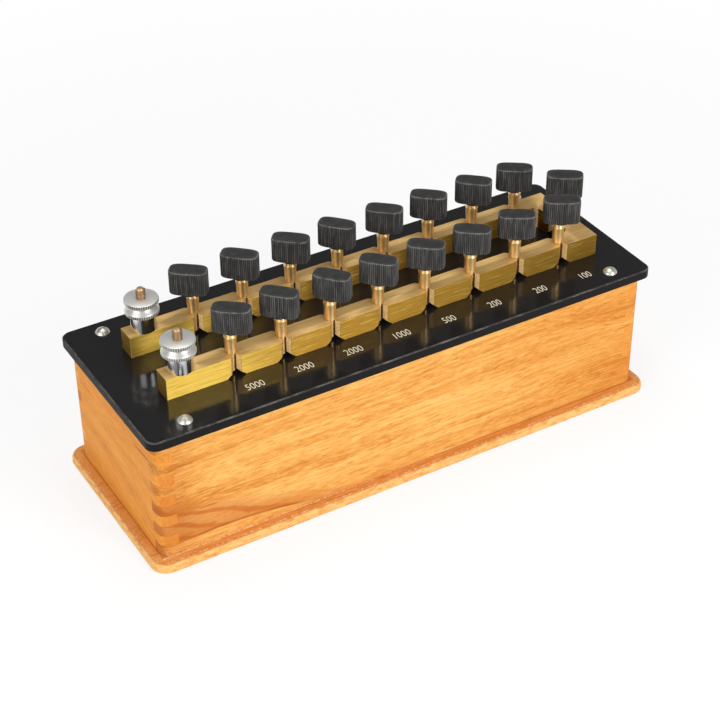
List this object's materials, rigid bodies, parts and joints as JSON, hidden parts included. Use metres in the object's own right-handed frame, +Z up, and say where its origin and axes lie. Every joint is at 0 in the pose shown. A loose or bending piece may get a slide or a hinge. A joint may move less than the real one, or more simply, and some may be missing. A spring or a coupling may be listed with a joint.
{
  "type": "resistance box",
  "caption": "Plug-type resistance box: finger-jointed wooden case, black panel, rows of brass blocks bridged by tapered plugs with fluted knobs, and screw terminals with thumb nuts.",
  "frame": {"origin": "middle of the underside of the base board", "axes": "+X along the block rows towards the end plug, +Y towards the rear row, +Z up"},
  "size_m": [0.2692, 0.1006, 0.1053],
  "materials": {
    "case_wood": "varnished teak, satin gloss",
    "base_wood": "varnished teak with a paler worn nose",
    "panel_ebonite": "polished black ebonite",
    "block_brass": "brushed along the bar",
    "pin_brass": "turned",
    "stud_brass": "threaded, dull",
    "inner_brass": "plain",
    "knob_ebonite": "moulded, fluted, worn at the edges",
    "nut_nickel": "satin nickel plate with knurled rims",
    "collar_chrome": "bright plate",
    "screw_nickel": "bright slotted heads",
    "screw_steel": "plain",
    "bobbin_wood": "turned, plain",
    "coil_wire": "silk covered wire, waxed",
    "lead_copper": "bare copper wire"
  },
  "bodies": {
    "box": {"base_board": "base_wood", "front_wall": "case_wood", "rear_wall": "case_wood", "left_wall": "case_wood", "right_wall": "case_wood", "top_panel": "panel_ebonite", "terminal_block_front": "block_brass", "terminal_block_rear": "block_brass", "front_row_blocks": "block_brass", "rear_row_blocks": "block_brass", "end_block_front": "block_brass", "end_block_rear": "block_brass", "terminal_studs": "stud_brass", "terminal_collars": "collar_chrome", "terminal_locknuts": "inner_brass", "panel_screws": "screw_nickel", "base_screws": "screw_steel", "block_screws": "inner_brass", "coil_bobbins": "bobbin_wood", "coil_windings": "coil_wire", "coil_leads": "lead_copper", "bobbin_screws": "inner_brass"},
    "plug_01": {"plug_pin_01": "pin_brass", "plug_knob_01": "knob_ebonite"},
    "plug_02": {"plug_pin_02": "pin_brass", "plug_knob_02": "knob_ebonite"},
    "plug_03": {"plug_pin_03": "pin_brass", "plug_knob_03": "knob_ebonite"},
    "plug_04": {"plug_pin_04": "pin_brass", "plug_knob_04": "knob_ebonite"},
    "plug_05": {"plug_pin_05": "pin_brass", "plug_knob_05": "knob_ebonite"},
    "plug_06": {"plug_pin_06": "pin_brass", "plug_knob_06": "knob_ebonite"},
    "plug_07": {"plug_pin_07": "pin_brass", "plug_knob_07": "knob_ebonite"},
    "plug_08": {"plug_pin_08": "pin_brass", "plug_knob_08": "knob_ebonite"},
    "plug_09": {"plug_pin_09": "pin_brass", "plug_knob_09": "knob_ebonite"},
    "plug_10": {"plug_pin_10": "pin_brass", "plug_knob_10": "knob_ebonite"},
    "plug_11": {"plug_pin_11": "pin_brass", "plug_knob_11": "knob_ebonite"},
    "plug_12": {"plug_pin_12": "pin_brass", "plug_knob_12": "knob_ebonite"},
    "plug_13": {"plug_pin_13": "pin_brass", "plug_knob_13": "knob_ebonite"},
    "plug_14": {"plug_pin_14": "pin_brass", "plug_knob_14": "knob_ebonite"},
    "plug_15": {"plug_pin_15": "pin_brass", "plug_knob_15": "knob_ebonite"},
    "plug_16": {"plug_pin_16": "pin_brass", "plug_knob_16": "knob_ebonite"},
    "plug_17": {"plug_pin_17": "pin_brass", "plug_knob_17": "knob_ebonite"},
    "nut_front": {"thumb_nut_front": "nut_nickel"},
    "nut_rear": {"thumb_nut_rear": "nut_nickel"}
  },
  "joints": [
    {"name": "plug_01_pull", "type": "slide", "parent": "box", "child": "plug_01", "axis": [0, 0, 1], "range_m": [0, 0.015]},
    {"name": "plug_02_pull", "type": "slide", "parent": "box", "child": "plug_02", "axis": [0, 0, 1], "range_m": [0, 0.015]},
    {"name": "plug_03_pull", "type": "slide", "parent": "box", "child": "plug_03", "axis": [0, 0, 1], "range_m": [0, 0.015]},
    {"name": "plug_04_pull", "type": "slide", "parent": "box", "child": "plug_04", "axis": [0, 0, 1], "range_m": [0, 0.015]},
    {"name": "plug_05_pull", "type": "slide", "parent": "box", "child": "plug_05", "axis": [0, 0, 1], "range_m": [0, 0.015]},
    {"name": "plug_06_pull", "type": "slide", "parent": "box", "child": "plug_06", "axis": [0, 0, 1], "range_m": [0, 0.015]},
    {"name": "plug_07_pull", "type": "slide", "parent": "box", "child": "plug_07", "axis": [0, 0, 1], "range_m": [0, 0.015]},
    {"name": "plug_08_pull", "type": "slide", "parent": "box", "child": "plug_08", "axis": [0, 0, 1], "range_m": [0, 0.015]},
    {"name": "plug_09_pull", "type": "slide", "parent": "box", "child": "plug_09", "axis": [0, 0, 1], "range_m": [0, 0.015]},
    {"name": "plug_10_pull", "type": "slide", "parent": "box", "child": "plug_10", "axis": [0, 0, 1], "range_m": [0, 0.015]},
    {"name": "plug_11_pull", "type": "slide", "parent": "box", "child": "plug_11", "axis": [0, 0, 1], "range_m": [0, 0.015]},
    {"name": "plug_12_pull", "type": "slide", "parent": "box", "child": "plug_12", "axis": [0, 0, 1], "range_m": [0, 0.015]},
    {"name": "plug_13_pull", "type": "slide", "parent": "box", "child": "plug_13", "axis": [0, 0, 1], "range_m": [0, 0.015]},
    {"name": "plug_14_pull", "type": "slide", "parent": "box", "child": "plug_14", "axis": [0, 0, 1], "range_m": [0, 0.015]},
    {"name": "plug_15_pull", "type": "slide", "parent": "box", "child": "plug_15", "axis": [0, 0, 1], "range_m": [0, 0.015]},
    {"name": "plug_16_pull", "type": "slide", "parent": "box", "child": "plug_16", "axis": [0, 0, 1], "range_m": [0, 0.015]},
    {"name": "plug_17_pull", "type": "slide", "parent": "box", "child": "plug_17", "axis": [0, 0, 1], "range_m": [0, 0.015]},
    {"name": "thumb_nut_front_turn", "type": "hinge", "parent": "box", "child": "nut_front", "pos_m": [-0.1028, -0.0183, 0.0944], "axis": [0, 0, 1], "continuous": true},
    {"name": "thumb_nut_rear_turn", "type": "hinge", "parent": "box", "child": "nut_rear", "pos_m": [-0.1028, 0.0183, 0.0944], "axis": [0, 0, 1], "continuous": true}
  ]
}
